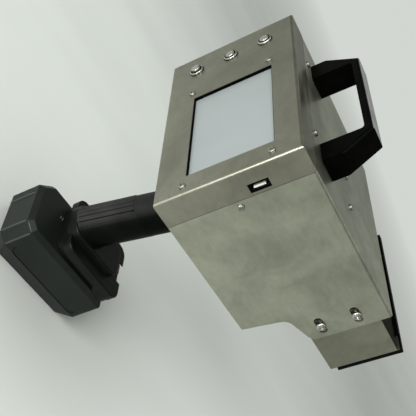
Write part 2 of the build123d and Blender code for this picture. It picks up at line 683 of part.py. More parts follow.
def rear_pad(z_low, z_high):
    """Raised strip round the back of the grip between two heights."""
    strip = ellipse_bar(GRIP_X + 2 * PAD_RISE, GRIP_Y + 2 * PAD_RISE, z_low, z_high)
    low, high = grip_axis_y(z_low), grip_axis_y(z_high)
    rear_side = Polyline(
        (low - GRIP_Y, z_low),
        (low - PAD_REACH, z_low),
        (high - PAD_REACH, z_high),
        (high - GRIP_Y, z_high),
        close=True,
    )
    return strip & prism_x(rear_side, MID_X - GRIP_X, MID_X + GRIP_X)


def make_grip_collar():
    """Smooth upper shell of the grip around both core halves, padded at the back."""
    collar = ellipse_bar(GRIP_X - 0.4, GRIP_Y - 0.4, COLLAR_Z, 0)
    collar += rear_pad(COLLAR_Z, PAD_TOP)
    collar -= ellipse_bar(CORE_X, CORE_Y, COLLAR_Z - 1, 1)
    return collar - trigger_pocket(0.3)


def make_grip_sleeve():
    """Rubber sleeve on the lower grip: a padded back with ridges, notched at its upper corners."""
    pad = rear_pad(FOOT_TOP, COLLAR_Z)
    notch_y = grip_axis_y(COLLAR_Z) - PAD_REACH
    notch = (notch_y, COLLAR_Z - PAD_NOTCH_R / 2)
    pad -= rod((MID_X - GRIP_X, *notch), (MID_X + GRIP_X, *notch), PAD_NOTCH_R)
    sleeve = ellipse_bar(GRIP_X, GRIP_Y, FOOT_TOP, COLLAR_Z) + pad
    for i in range(RIDGE_COUNT):
        angle = (i - (RIDGE_COUNT - 1) / 2) * RIDGE_STEP
        x = MID_X + GRIP_X / 2 * math.sin(angle)
        back = GRIP_Y / 2 * math.cos(angle)
        low = (x, grip_axis_y(FOOT_TOP) - back, FOOT_TOP)
        high = (x, grip_axis_y(COLLAR_Z) - back, COLLAR_Z)
        sleeve += loft([Pos(*low) * Circle(RIDGE_R), Pos(*high) * Circle(RIDGE_R)])
    sleeve += ellipse_bar(GRIP_X + 2 * RIM_RISE, GRIP_Y + 2 * RIM_RISE, FOOT_TOP, FOOT_TOP + RIM_HEIGHT)
    return sleeve - ellipse_bar(CORE_X, CORE_Y, FOOT_TOP - 1, COLLAR_Z + 1)


def make_grip_screws():
    return [screw((x, y, SHEET), (0, 0, -1), 10, M4, 3.6, 2.4) for x, y in grip_screw_places()]


def make_trigger():
    """Trigger with a finger hollow in its front face."""
    body = block(MID_X - 7, MID_X + 7, 78, 105, TRIGGER_Z0, TRIGGER_Z1)
    body = rounded(body, Axis.X, 1.5)
    middle = (TRIGGER_Z0 + TRIGGER_Z1) / 2
    return body - rod((MID_X - 8, 119, middle), (MID_X + 8, 119, middle), 17)


def make_trigger_switch():
    """Micro switch in the core's channel behind the trigger."""
    return block(MID_X - 5, MID_X + 5, 64.5, 68.5, TRIGGER_Z0 + 6, TRIGGER_Z1 - 6)


def coil(start, direction, turns, length, radius, wire):
    """Compression spring as a swept helix."""
    seat = Plane(origin=start, z_dir=direction)
    path = Helix(pitch=length / turns, height=length, radius=radius)
    profile = Plane(origin=path @ 0, z_dir=path % 0) * Circle(wire)
    return seat.location * sweep(profile, path=path, is_frenet=True)


def make_trigger_spring():
    return coil((MID_X, 69.4, -22), (0, 1, 0), 5, 7.8, 3.2, 0.45)


# ---- battery foot and battery ----
def foot_body(x_size, y0, y1, z0, z1, radius):
    """Rounded slab of the foot, centred across the grip."""
    slab = block(MID_X - x_size / 2, MID_X + x_size / 2, y0, y1, z0, z1)
    return rounded(slab, Axis.Z, radius)


def make_battery_foot():
    """Foot under the grip: a cap, a rail slab, a front skirt and a channel for the tongue."""
    foot = foot_body(FOOT_X, FOOT_Y0, FOOT_Y1, RAIL_BOTTOM, RAIL_TOP, FOOT_CORNER)
    rail_rim = foot.faces().sort_by(Axis.Z)[-1].edges()
    foot = fillet(rail_rim, 1.5)
    foot += foot_body(FOOT_X - 12, FOOT_Y0, FOOT_Y1 - 2, FOOT_BOTTOM, RAIL_BOTTOM, FOOT_CORNER)
    foot += foot_body(FOOT_X - 2, SKIRT_Y0, FOOT_Y1 - 0.5, FOOT_BOTTOM, RAIL_BOTTOM, FOOT_CORNER - 1)
    cap = foot_body(CAP_X, CAP_Y0, CAP_Y1, RAIL_TOP - 4, FOOT_TOP, 10)
    foot += fillet(cap.faces().sort_by(Axis.Z)[-1].edges(), 1.8)
    half = CHANNEL_X / 2
    foot -= block(MID_X - half, MID_X + half, CHANNEL_Y0, FOOT_Y1 + 1, FOOT_BOTTOM - 1, CHANNEL_TOP)
    half = NOTCH_X / 2
    return foot - block(MID_X - half, MID_X + half, NOTCH_Y0, FOOT_Y1 + 1, FOOT_BOTTOM - 1, RAIL_TOP + 1)


def make_foot_terminals():
    """Blade contacts at the back of the foot's channel."""
    blades = []
    for x in (MID_X - 12, MID_X, MID_X + 12):
        blades.append(block(x - 0.4, x + 0.4, CHANNEL_Y0, CHANNEL_Y0 + 10, -124, -116))
    return blades


def battery_outline(inset, z, rear=0):
    """The battery's outline at one height, shrunk by an inset and cut back at the rear."""
    half = BATTERY_X / 2 - inset
    y0, y1 = BATTERY_Y0 + inset + rear, BATTERY_Y1 - inset
    near = REAR_CHAMFER_NEAR - inset * 0.6
    far = REAR_CHAMFER_FAR - inset * 0.6
    outline = Polyline(
        (MID_X - half, y0 + far),
        (MID_X - half + far, y0),
        (MID_X + half - near, y0),
        (MID_X + half, y0 + near),
        (MID_X + half, y1),
        (MID_X - half, y1),
        close=True,
    )
    face = make_face(outline)
    front_corners = face.vertices().sort_by(Axis.Y)[-2:]
    return Pos(0, 0, z) * fillet(front_corners, FRONT_RADIUS - inset * 0.3)


def battery_slab(inset, z0, z1):
    """Straight-walled part of the battery between two heights."""
    return extrude(battery_outline(inset, z0), amount=z1 - z0)


def battery_taper(inset, wide_z, narrow_z, narrowing, rear=0):
    """Part of the battery that narrows from one height to another."""
    return loft([battery_outline(inset, wide_z), battery_outline(inset + narrowing, narrow_z, rear)])


def make_battery_lower():
    """Lower case of the battery, narrowing towards its flat bottom."""
    case = battery_slab(0, CHAMFER_Z, BATTERY_SPLIT)
    case += battery_taper(0, CHAMFER_Z, BATTERY_BOTTOM, BASE_NARROWING, REAR_NARROWING)
    case -= battery_slab(CASE_WALL, CHAMFER_Z, BATTERY_SPLIT + 1)
    floor_z = BATTERY_BOTTOM + CASE_WALL
    case -= battery_taper(CASE_WALL, CHAMFER_Z, floor_z, BASE_NARROWING, REAR_NARROWING)
    for x, y in BATTERY_SCREWS:
        case += rod((x, y, BATTERY_BOTTOM + 1), (x, y, CHAMFER_Z - 2), 4.2)
        case -= rod((x, y, BATTERY_BOTTOM - 1), (x, y, BATTERY_BOTTOM + SCREW_SINK), 2.9)
        case -= rod((x, y, BATTERY_BOTTOM), (x, y, CHAMFER_Z + 1), M3 + FIT)
    return case


def make_battery_upper():
    """Upper case with the tongue that slides into the foot and the latch block."""
    shoulder = BATTERY_TOP - BATTERY_SHOULDER
    case = battery_slab(0, BATTERY_SPLIT, shoulder)
    case += battery_taper(0, shoulder, BATTERY_TOP, BATTERY_SHOULDER)
    case -= battery_slab(CASE_WALL, BATTERY_SPLIT - 1, shoulder)
    case -= battery_slab(BATTERY_SHOULDER + 1, shoulder - 1, BATTERY_TOP - CASE_WALL)
    half = TONGUE_X / 2
    case += block(MID_X - half, MID_X + half, CHANNEL_Y0 + 12, LATCH_Y1, BATTERY_TOP, TONGUE_TOP)
    half = LATCH_X / 2
    case += block(MID_X - half, MID_X + half, LATCH_Y0, LATCH_Y1, TONGUE_TOP, LATCH_TOP)
    half = RELEASE_X / 2 + POCKET_GAP
    y0, y1 = RELEASE_Y0 - POCKET_GAP, RELEASE_Y1 + POCKET_GAP
    return case - block(MID_X - half, MID_X + half, y0, y1, POCKET_FLOOR, LATCH_TOP + 1)


def make_battery_cells():
    """Round cells side by side across the case."""
    middle = (BATTERY_Y0 + BATTERY_Y1) / 2
    cells = []
    for i in range(CELL_COUNT):
        y = middle + (i - (CELL_COUNT - 1) / 2) * (2 * CELL_R + 0.3)
        start = (MID_X - CELL_LENGTH / 2, y, CELL_Z)
        cells.append(rod(start, (MID_X + CELL_LENGTH / 2, y, CELL_Z), CELL_R))
    return cells


def make_battery_board():
    """Protection board above the cells."""
    return block(MID_X - 28, MID_X + 28, 30, 100, -134, -132.4)


def make_battery_terminals():
    """Spring clips on top of the battery, behind the tongue."""
    clips = []
    for x in (MID_X - 12, MID_X, MID_X + 12):
        for side in (-1, 1):
            near, far = sorted((x + side * 0.7, x + side * 1.5))
            clips.append(block(near, far, CHANNEL_Y0 + 1, CHANNEL_Y0 + 10, BATTERY_TOP, -117))
    return clips


def make_release_button():
    """Red button in the latch block, standing a little above it."""
    half = RELEASE_X / 2
    button = block(MID_X - half, MID_X + half, RELEASE_Y0, RELEASE_Y1, RELEASE_BOTTOM, RELEASE_TOP)
    return fillet(button.faces().sort_by(Axis.Z)[-1].edges(), 1.2)


def make_release_spring():
    middle = (RELEASE_Y0 + RELEASE_Y1) / 2
    wire = 0.3
    margin = wire + FIT
    length = RELEASE_BOTTOM - POCKET_FLOOR - 2 * margin
    return coil((MID_X, middle, POCKET_FLOOR + margin), (0, 0, 1), 3, length, 1.6, wire)


def make_battery_screws():
    """Four screws up through the lower case."""
    seat = BATTERY_BOTTOM + SCREW_SINK
    return [small_screw((x, y, seat), (0, 0, 1), 10) for x, y in BATTERY_SCREWS]


# ---- assembly ----
def place(solids):
    """Shift a node's solids from the design axes to the row's origin."""
    if not isinstance(solids, list):
        solids = [solids]
    shift = Pos(-ORIGIN_X, -ORIGIN_Y, -BATTERY_BOTTOM)
    moved = []
    for item in solids:
        moved += [shift * solid for solid in item.solids()]
    return moved[0] if len(moved) == 1 else Compound(children=moved)


NODES = {
    "screen_cover": make_screen_cover,
    "cover_tabs": make_cover_tabs,
    "body_wrap": make_body_wrap,
    "bottom_pan": make_bottom_pan,
    "front_bulkhead": make_front_bulkhead,
    "shroud_guide": make_shroud_guide,
    "panel_screws": make_panel_screws,
    "wrap_screws": make_wrap_screws,
    "lcd_gasket": make_lcd_gasket,
    "touch_glass": make_touch_glass,
    "lcd_module": make_lcd_module,
    "lcd_bracket": make_lcd_bracket,
    "button_bezels": make_button_bezels,
    "power_button": lambda: make_button_cap("power_button"),
    "menu_button": lambda: make_button_cap("menu_button"),
    "print_button": lambda: make_button_cap("print_button"),
    "button_bodies": make_button_bodies,
    "button_nuts": make_button_nuts,
    "usb_shell": make_usb_shell,
    "usb_tongue": make_usb_tongue,
    "usb_board": make_usb_board,
    "control_board": make_control_board,
    "board_standoffs": make_board_standoffs,
    "board_parts": make_board_parts,
    "ink_tank": make_ink_tank,
    "ink_tank_cap": make_ink_tank_cap,
    "ink_pump": make_ink_pump,
    "pump_bracket": make_pump_bracket,
    "suction_tube": make_suction_tube,
    "pressure_tube": make_pressure_tube,
    "ink_manifold": make_ink_manifold,
    "head_housing": make_head_housing,
    "nozzle_plate": make_nozzle_plate,
    "valve_bank": make_valve_bank,
    "head_screws": make_head_screws,
    "nozzle_shroud": make_nozzle_shroud,
    "slot_screws": make_slot_screws,
    "slot_nuts": make_slot_nuts,
    "face_trim": make_face_trim,
    "carry_handle": make_carry_handle,
    "handle_screws": make_handle_screws,
    "grip_half_near": lambda: make_grip_half(True),
    "grip_half_far": lambda: make_grip_half(False),
    "grip_collar": make_grip_collar,
    "grip_sleeve": make_grip_sleeve,
    "grip_screws": make_grip_screws,
    "trigger": make_trigger,
    "trigger_switch": make_trigger_switch,
    "trigger_spring": make_trigger_spring,
    "battery_foot": make_battery_foot,
    "foot_terminals": make_foot_terminals,
    "battery_case_upper": make_battery_upper,
    "battery_case_lower": make_battery_lower,
    "battery_cells": make_battery_cells,
    "battery_board": make_battery_board,
    "battery_terminals": make_battery_terminals,
    "release_button": make_release_button,
    "release_spring": make_release_spring,
    "battery_screws": make_battery_screws,
}

os.makedirs("parts", exist_ok=True)
for node, make in NODES.items():
    export_step(place(make()), f"parts/{node}.step")
print(f"{len(NODES)} nodes, origin at X {ORIGIN_X:.2f}, Y {ORIGIN_Y:.2f}")
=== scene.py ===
import math

import bmesh
import bpy
from mathutils import Matrix, Vector


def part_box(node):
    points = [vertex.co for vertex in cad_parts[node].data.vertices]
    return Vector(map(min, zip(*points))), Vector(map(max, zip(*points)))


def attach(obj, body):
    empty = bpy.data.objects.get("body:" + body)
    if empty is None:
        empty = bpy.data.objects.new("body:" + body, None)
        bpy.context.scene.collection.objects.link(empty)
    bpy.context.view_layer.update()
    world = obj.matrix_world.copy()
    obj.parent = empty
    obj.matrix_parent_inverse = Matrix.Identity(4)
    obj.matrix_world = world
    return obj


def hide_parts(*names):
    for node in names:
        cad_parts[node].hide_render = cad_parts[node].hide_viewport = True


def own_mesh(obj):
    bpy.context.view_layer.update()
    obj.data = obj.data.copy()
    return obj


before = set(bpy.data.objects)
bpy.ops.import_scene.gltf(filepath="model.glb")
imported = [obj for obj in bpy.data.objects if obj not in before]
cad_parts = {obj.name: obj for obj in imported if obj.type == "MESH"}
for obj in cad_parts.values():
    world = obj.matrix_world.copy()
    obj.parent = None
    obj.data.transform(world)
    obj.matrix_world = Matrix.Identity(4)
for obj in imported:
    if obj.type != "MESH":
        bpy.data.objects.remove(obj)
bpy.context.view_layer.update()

# Places below are millimetres from the far lower corner of the screen cover:
# X towards the near side plate, Y away from the screen face, Z up.
COVER_LOW, COVER_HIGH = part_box("screen_cover")
MM = 0.001
BOX_W = (COVER_HIGH[0] - COVER_LOW[0]) / MM


def at(x, y, z):
    """A place given in millimetres, in the row frame's metres."""
    return Vector((COVER_LOW[0] + x * MM, COVER_LOW[1] + y * MM, COVER_LOW[2] + z * MM))


def corners(node):
    """A CAD node's lowest and highest corners in millimetres, as at() counts them."""
    low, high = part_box(node)
    return tuple([(point[i] - COVER_LOW[i]) / MM for i in range(3)] for point in (low, high))


def node_span(node, axis):
    """Lowest and highest millimetres of a CAD node along one axis."""
    low, high = corners(node)
    return low[axis], high[axis]


def node_middle(node, axis):
    """Middle of a CAD node along one axis, in millimetres."""
    return sum(node_span(node, axis)) / 2


# ---- shader building ----
class Surface:
    """A node material with the few building blocks that the finishes share."""

    def __init__(self, name, colour, roughness, metallic=0.0):
        self.material = bpy.data.materials.new(name)
        self.material.use_nodes = True
        self.tree = self.material.node_tree
        self.shader = self.tree.nodes["Principled BSDF"]
        self.shader.inputs["Base Color"].default_value = (*colour, 1)
        self.shader.inputs["Roughness"].default_value = roughness
        self.shader.inputs["Metallic"].default_value = metallic
        self.material.diffuse_color = (*colour, 1)
        self.height = None

    def node(self, kind, **settings):
        made = self.tree.nodes.new(kind)
        for key, value in settings.items():
            setattr(made, key, value)
        return made

    def link(self, source, target):
        self.tree.links.new(source, target)

    def coords(self, stretch=(1, 1, 1), turn=(0, 0, 0)):
        """Object coordinates in metres, stretched along the axes."""
        place = self.node("ShaderNodeTexCoord")
        mapping = self.node("ShaderNodeMapping")
        mapping.inputs["Scale"].default_value = stretch
        mapping.inputs["Rotation"].default_value = turn
        self.link(place.outputs["Object"], mapping.inputs["Vector"])
        return mapping.outputs["Vector"]

    def noise(self, vector, scale, detail=3.0, rough=0.5, distortion=0.0):
        made = self.node("ShaderNodeTexNoise")
        made.inputs["Scale"].default_value = scale
        made.inputs["Detail"].default_value = detail
        made.inputs["Roughness"].default_value = rough
        made.inputs["Distortion"].default_value = distortion
        self.link(vector, made.inputs["Vector"])
        return made.outputs["Fac"]

    def cells(self, vector, scale, feature="F1"):
        made = self.node("ShaderNodeTexVoronoi", feature=feature)
        made.inputs["Scale"].default_value = scale
        self.link(vector, made.inputs["Vector"])
        return made.outputs["Distance"]

    def ramp(self, value, stops):
        """Colour ramp; stops are (position, colour or grey)."""
        made = self.node("ShaderNodeValToRGB")
        elements = made.color_ramp.elements
        while len(elements) < len(stops):
            elements.new(0.5)
        for element, (position, colour) in zip(elements, stops):
            if not isinstance(colour, tuple):
                colour = (colour, colour, colour)
            element.position = position
            element.color = (*colour, 1)
        self.link(value, made.inputs["Fac"])
        return made.outputs["Color"]

    def span(self, value, low, high, from_low=0.0, from_high=1.0):
        """Carries a value from the range given last to the one given first."""
        made = self.node("ShaderNodeMapRange")
        made.inputs["From Min"].default_value = from_low
        made.inputs["From Max"].default_value = from_high
        made.inputs["To Min"].default_value = low
        made.inputs["To Max"].default_value = high
        self.link(value, made.inputs["Value"])
        return made.outputs["Result"]

    def math(self, operation, first, second):
        made = self.node("ShaderNodeMath", operation=operation)
        for socket, value in zip(made.inputs, (first, second)):
            if isinstance(value, (int, float)):
                socket.default_value = value
            else:
                self.link(value, socket)
        return made.outputs["Value"]

    def mix(self, factor, first, second, blend="MIX"):
        made = self.node("ShaderNodeMix", data_type="RGBA", blend_type=blend)
        colour_inputs = [made.inputs[0], made.inputs[6], made.inputs[7]]
        for socket, value in zip(colour_inputs, (factor, first, second)):
            if isinstance(value, (int, float)):
                socket.default_value = value
            elif isinstance(value, tuple):
                socket.default_value = (*value, 1)
            else:
                self.link(value, socket)
        return made.outputs[2]

    def colour(self, value):
        self.link(value, self.shader.inputs["Base Color"])

    def roughness(self, value):
        self.link(value, self.shader.inputs["Roughness"])

    def bump(self, value, depth, strength=1.0):
        """Adds one more layer of relief, depth in metres."""
        made = self.node("ShaderNodeBump")
        made.inputs["Strength"].default_value = strength
        made.inputs["Distance"].default_value = depth
        self.link(value, made.inputs["Height"])
        if self.height is not None:
            self.link(self.height, made.inputs["Normal"])
        self.height = made.outputs["Normal"]
        self.link(self.height, self.shader.inputs["Normal"])

    def facing(self, patches, axis="Z", edge=(0.75, 0.98)):
        """1 on faces that look along one axis, in patches where dust and a painted sheen lie; 0 elsewhere."""
        split = self.node("ShaderNodeSeparateXYZ")
        self.link(self.node("ShaderNodeTexCoord").outputs["Normal"], split.inputs[0])
        return self.math("MULTIPLY", self.span(split.outputs[axis], 0.0, 1.0, *edge),
                         self.span(patches, 0.6, 1.0, 0.3, 0.6))

    def worn_and_highlit_edges(self, amount=0.5, width=0.0006):
        """Paler edges, rubbed wear and a painted edge highlight: 0 on flats, up to the amount on sharp edges,
        by how far a bevel turns the normal.
        """
        bevel = self.node("ShaderNodeBevel", samples=4)
        bevel.inputs["Radius"].default_value = width
        geometry = self.node("ShaderNodeNewGeometry")
        dot = self.node("ShaderNodeVectorMath", operation="DOT_PRODUCT")
        self.link(bevel.outputs["Normal"], dot.inputs[0])
        self.link(geometry.outputs["Normal"], dot.inputs[1])
        return self.span(dot.outputs["Value"], amount, 0.0, 0.75, 0.99)


def sheet_steel(name, tint, stretch, roughness=0.36, cloud=0.10):
    """Stainless sheet: faint brush lines along one axis, cloudy and finely mottled."""
    s = Surface(name, tint, roughness, metallic=1.0)
    lines = s.noise(s.coords(stretch), 420, detail=4, rough=0.7)
    clouds = s.noise(s.coords(), 24, detail=4, rough=0.55, distortion=0.6)
    mottle = s.noise(s.coords((1.0, 0.7, 1.3)), 170, detail=4, rough=0.6)
    dark = tuple(c * (1 - cloud) for c in tint)
    light = tuple(min(1, c * (1 + cloud)) for c in tint)
    tone = s.ramp(clouds, [(0.32, dark), (0.5, tint), (0.68, light)])
    fine = s.ramp(mottle, [(0.34, 0.93), (0.62, 1.03)])
    grain = s.ramp(lines, [(0.3, 0.97), (0.7, 1.02)])
    s.colour(s.mix(1.0, s.mix(1.0, tone, fine, "MULTIPLY"), grain, "MULTIPLY"))
    spread = s.math("ADD", s.span(clouds, -0.04, 0.05), s.span(mottle, -0.04, 0.05))
    s.roughness(s.math("ADD", spread, roughness))
    s.bump(lines, 0.00001, 0.4)
    s.bump(clouds, 0.0006, 0.25)
    s.shader.inputs["Anisotropic"].default_value = 0.25
    return s.material


def polished(name, tint, roughness=0.12):
    """Plated or turned metal with faint polishing marks."""
    s = Surface(name, tint, roughness, metallic=1.0)
    marks = s.noise(s.coords(), 700, detail=3)
    stains = s.noise(s.coords(), 150, detail=3)
    s.colour(s.ramp(stains, [(0.3, tuple(c * 0.82 for c in tint)), (0.65, tint)]))
    s.roughness(s.span(marks, roughness * 0.7, roughness * 1.6))
    s.bump(marks, 0.00002, 0.3)
    return s.material


def moulded(name, tint, roughness, grain=1400, depth=0.00006, dust=0.25, edge=0.35, gloss=0.5,
            dust_and_sheen=0.0, rear_sheen=False):
    """Moulded plastic: spark-eroded grain, dusty patches and slightly paler edges of rubbed wear and painted
    edge highlight.

    Paler patches lie on upward faces as dust and a painted sheen; with rear_sheen they lie on the grip's rear
    faces as a painted highlight.
    """
    s = Surface(name, tint, roughness)
    s.shader.inputs["Specular IOR Level"].default_value = gloss
    pits = s.noise(s.coords(), grain, detail=2, rough=0.6)
    patches = s.noise(s.coords(), 45, detail=5, rough=0.6, distortion=0.5)
    pale = tuple(c * 1.6 + 0.006 for c in tint)
    base = s.ramp(patches, [(0.38, tint), (0.75, tuple(c + dust * (p - c) for c, p in zip(tint, pale)))])
    # Paler edges: rubbed wear and a painted edge highlight.
    wear_and_highlight = s.mix(s.worn_and_highlit_edges(edge), base, tuple(c * 2.2 + 0.012 for c in tint))
    # Paler patches: dust and a painted sheen on upward faces, a painted highlight on the grip's rear faces.
    where = s.facing(patches, "Y", (-0.55, -0.85)) if rear_sheen else s.facing(patches)
    s.colour(s.mix(where, wear_and_highlight, tuple(c + dust_and_sheen for c in tint)))
    s.roughness(s.math("ADD", s.span(patches, -0.08, 0.10), s.span(pits, roughness - 0.05, roughness + 0.05)))
    s.bump(pits, depth, 0.6)
    return s.material


def film(name, tint):
    """Matt protective film over the display: pale, faintly cloudy, with a soft sheen."""
    s = Surface(name, tint, 0.34)
    s.shader.inputs["Specular IOR Level"].default_value = 0.35
    s.shader.inputs["Coat Weight"].default_value = 0.12
    s.shader.inputs["Coat Roughness"].default_value = 0.25
    haze = s.noise(s.coords((1.0, 1.0, 0.35)), 22, detail=3, rough=0.5)
    s.colour(s.ramp(haze, [(0.35, tuple(c * 0.97 for c in tint)), (0.65, tuple(c * 1.03 for c in tint))]))
    s.roughness(s.span(haze, 0.30, 0.38))
    s.bump(haze, 0.0002, 0.1)
    return s.material


# ---- finishes of the CAD nodes ----
def make_finishes():
    """Every material of the object, by name."""
    return {
        # Painted shade: the cover and shroud steel are tinted darker than the wrap's, for the dimmer
        # reflections these faces show.
        "cover": sheet_steel("cover_steel_shaded", (0.262, 0.254, 0.208), (0.03, 1, 1), cloud=0.14),
        "wrap": sheet_steel("wrap_steel", (0.372, 0.376, 0.306), (1, 0.03, 1), 0.37, cloud=0.17),
        "pan": sheet_steel("pan_steel", (0.30, 0.30, 0.26), (1, 0.03, 1), 0.38),
        "shroud": sheet_steel("shroud_steel_shaded", (0.262, 0.258, 0.204), (1, 0.05, 1), cloud=0.14),
        "inner": sheet_steel("inner_steel", (0.36, 0.36, 0.34), (1, 1, 0.05), 0.42, cloud=0.06),
        "chrome": polished("chrome", (0.50, 0.49, 0.46), 0.18),
        "screw": polished("screw_steel", (0.36, 0.355, 0.325), 0.26),
        # Handle: paler patches on its upward faces, dust and a painted sheen.
        "handle": moulded("handle_plastic", (0.0006, 0.0008, 0.0005), 0.38, grain=1100,
                          depth=0.00005, dust=0.2, edge=0.05, gloss=0.02, dust_and_sheen=0.26),
        "moulding": moulded("black_moulding", (0.0034, 0.0042, 0.0032), 0.42, gloss=0.15),
        "trim": moulded("black_trim", (0.0010, 0.0012, 0.0009), 0.45, edge=0.05, gloss=0.04),
        # Collar: paler rear faces, a painted highlight.
        "collar": moulded("collar_plastic", (0.0010, 0.0016, 0.0010), 0.44, grain=900,
                          dust=0.3, edge=0.5, gloss=0.035, dust_and_sheen=0.024, rear_sheen=True),
        # Black for the battery's panel seam, and for painted shade in recesses, gaps and creases.
        "seam_and_shade": moulded("seam_and_shade_black", (0.0008, 0.0009, 0.0008), 0.7, edge=0.0, gloss=0.02),
        "battery": moulded("battery_plastic", (0.0085, 0.0115, 0.0090), 0.46, grain=1300,
                           depth=0.00007, dust=0.35, edge=0.4, gloss=0.2),
        # Sleeve: paler rear faces, a painted highlight.
        "rubber": moulded("black_rubber", (0.0012, 0.0018, 0.0012), 0.44, grain=900,
                          depth=0.00008, dust=0.4, edge=0.5, gloss=0.045, dust_and_sheen=0.032, rear_sheen=True),
        # Pale plastic, paler still on upward faces, painting highlight lines on the battery's beads and
        # catches.
        "battery_highlight": moulded("battery_highlight", (0.030, 0.036, 0.031), 0.40, grain=1300,
                               depth=0.00004, dust=0.4, edge=0.5, gloss=0.4, dust_and_sheen=0.12),
        "red": moulded("red_plastic", (0.16, 0.006, 0.02), 0.4, grain=1500,
                       depth=0.00003, dust=0.1, edge=0.1, gloss=0.3),
        "glass": film("screen_film", (0.262, 0.288, 0.295)),
        "display": moulded("display_case", (0.35, 0.37, 0.37), 0.5),
        "board": moulded("circuit_board", (0.015, 0.09, 0.035), 0.35),
        "chips": moulded("chip_black", (0.012, 0.012, 0.013), 0.4),
        "insulator": moulded("usb_insulator", (0.62, 0.61, 0.55), 0.4),
        "tank": moulded("tank_plastic", (0.60, 0.62, 0.58), 0.35),
        "tube": moulded("tube_plastic", (0.42, 0.44, 0.43), 0.2),
        "brass": polished("brass", (0.62, 0.42, 0.16), 0.25),
        "cells": moulded("cell_wrap", (0.03, 0.12, 0.28), 0.25),
        "aluminium": polished("aluminium", (0.55, 0.56, 0.57), 0.35),
    }


FINISH_OF = {
    "cover": ["screen_cover"],
    "wrap": ["body_wrap"],
    "pan": ["bottom_pan"],
    "shroud": ["nozzle_shroud"],
    "inner": ["cover_tabs", "front_bulkhead", "shroud_guide", "lcd_bracket", "nozzle_plate"],
    "chrome": ["button_bezels", "power_button", "menu_button", "print_button", "button_nuts", "slot_screws"],
    "screw": ["panel_screws", "wrap_screws", "valve_bank", "head_screws", "slot_nuts", "handle_screws",
              "grip_screws", "trigger_spring", "release_spring", "battery_screws"],
    "handle": ["carry_handle"],
    "moulding": ["ink_tank_cap", "pump_bracket", "head_housing", "grip_half_near", "grip_half_far",
                 "trigger", "battery_foot"],
    "collar": ["grip_collar"],
    "trim": ["face_trim"],
    "battery": ["battery_case_upper", "battery_case_lower"],
    "rubber": ["lcd_gasket", "grip_sleeve"],
    "red": ["release_button"],
    "glass": ["touch_glass"],
    "display": ["lcd_module"],
    "board": ["usb_board", "control_board", "battery_board"],
    "chips": ["button_bodies", "board_parts", "trigger_switch", "usb_shell"],
    "insulator": ["usb_tongue"],
    "tank": ["ink_tank"],
    "tube": ["suction_tube", "pressure_tube"],
    "brass": ["board_standoffs", "foot_terminals", "battery_terminals"],
    "cells": ["battery_cells"],
    "aluminium": ["ink_pump", "ink_manifold"],
}


FINISHES = make_finishes()


def dress_frame():
    """Gives every CAD node its finish."""
    for finish, nodes in FINISH_OF.items():
        for node in nodes:
            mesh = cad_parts[node].data
            mesh.materials.clear()
            mesh.materials.append(FINISHES[finish])


# ---- detail pieces ----
def make_piece(name, places, faces, finish, body):
    """A mesh piece from places in millimetres, riding on a body."""
    mesh = bpy.data.meshes.new(name)
    mesh.from_pydata([at(*place) for place in places], [], faces)
    mesh.materials.append(FINISHES[finish])
    work = bmesh.new()
    work.from_mesh(mesh)
    bmesh.ops.recalc_face_normals(work, faces=work.faces)
    work.to_mesh(mesh)
    work.free()
    made = bpy.data.objects.new(name, mesh)
    bpy.context.collection.objects.link(made)
    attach(made, body)
    return made


def ladder(rings):
    """Faces between closed rings of equal size, listed one after another."""
    count = len(rings[0])
    faces = []
    for step in range(len(rings) - 1):
        low, high = step * count, (step + 1) * count
        for i in range(count):
            j = (i + 1) % count
            faces.append((low + i, low + j, high + j, high + i))
    return [place for ring in rings for place in ring], faces


def shade(made):
    """Shades a piece smooth."""
    for face in made.data.polygons:
        face.use_smooth = True
    return made


def bead(name, path, radius, finish, body, sides=12, tail=3):
    """Round raised line along a path, its ends drawn down to a point."""
    points = [Vector(p) for p in path]
    last = len(points) - 1
    rings = []
    for i, point in enumerate(points):
        along = (points[min(i + 1, last)] - points[max(i - 1, 0)]).normalized()
        side = along.orthogonal().normalized()
        lift = along.cross(side)
        reach = min(1.0, min(i, last - i) / tail)
        size = radius * max(0.03, math.sqrt(1 - (1 - reach) ** 2))
        turns = [2 * math.pi * k / sides for k in range(sides)]
        rings.append([point + size * (math.cos(a) * side + math.sin(a) * lift) for a in turns])
    places, faces = ladder(rings)
    faces.append(tuple(range(sides)))
    faces.append(tuple(range(len(places) - sides, len(places))))
    return shade(make_piece(name, places, faces, finish, body))


def straight(start, end, steps=14):
    """Evenly spaced places from start to end."""
    a, b = Vector(start), Vector(end)
    return [a.lerp(b, i / steps) for i in range(steps + 1)]


def corner_loop(u0, u1, v0, v1, radius, steps=5):
    """Rounded rectangle as (u, v) places."""
    loop = []
    corners = [(u1 - radius, v1 - radius, 0), (u0 + radius, v1 - radius, 90),
               (u0 + radius, v0 + radius, 180), (u1 - radius, v0 + radius, 270)]
    for u, v, turn in corners:
        for i in range(steps + 1):
            angle = math.radians(turn + 90 * i / steps)
            loop.append((u + radius * math.cos(angle), v + radius * math.sin(angle)))
    return loop


def frame_piece(name, outer, inner, lay, low, high, finish, body):
    """Flat frame between two rounded loops; lay puts (u, v, depth) into millimetres."""
    rings = [[lay(u, v, depth) for u, v in loop]
             for loop, depth in ((outer, low), (inner, low), (inner, high), (outer, high), (outer, low))]
    places, faces = ladder(rings)
    return make_piece(name, places, faces, finish, body)


def turned(name, centre, profile, finish, body, sides=40):
    """Ring turned about an axis along Y from (radius, y) steps."""
    x, z = centre
    turns = [2 * math.pi * k / sides for k in range(sides)]
    rings = [[(x + r * math.cos(a), y, z + r * math.sin(a)) for a in turns] for r, y in profile]
    places, faces = ladder(rings)
    return shade(make_piece(name, places, faces, finish, body))


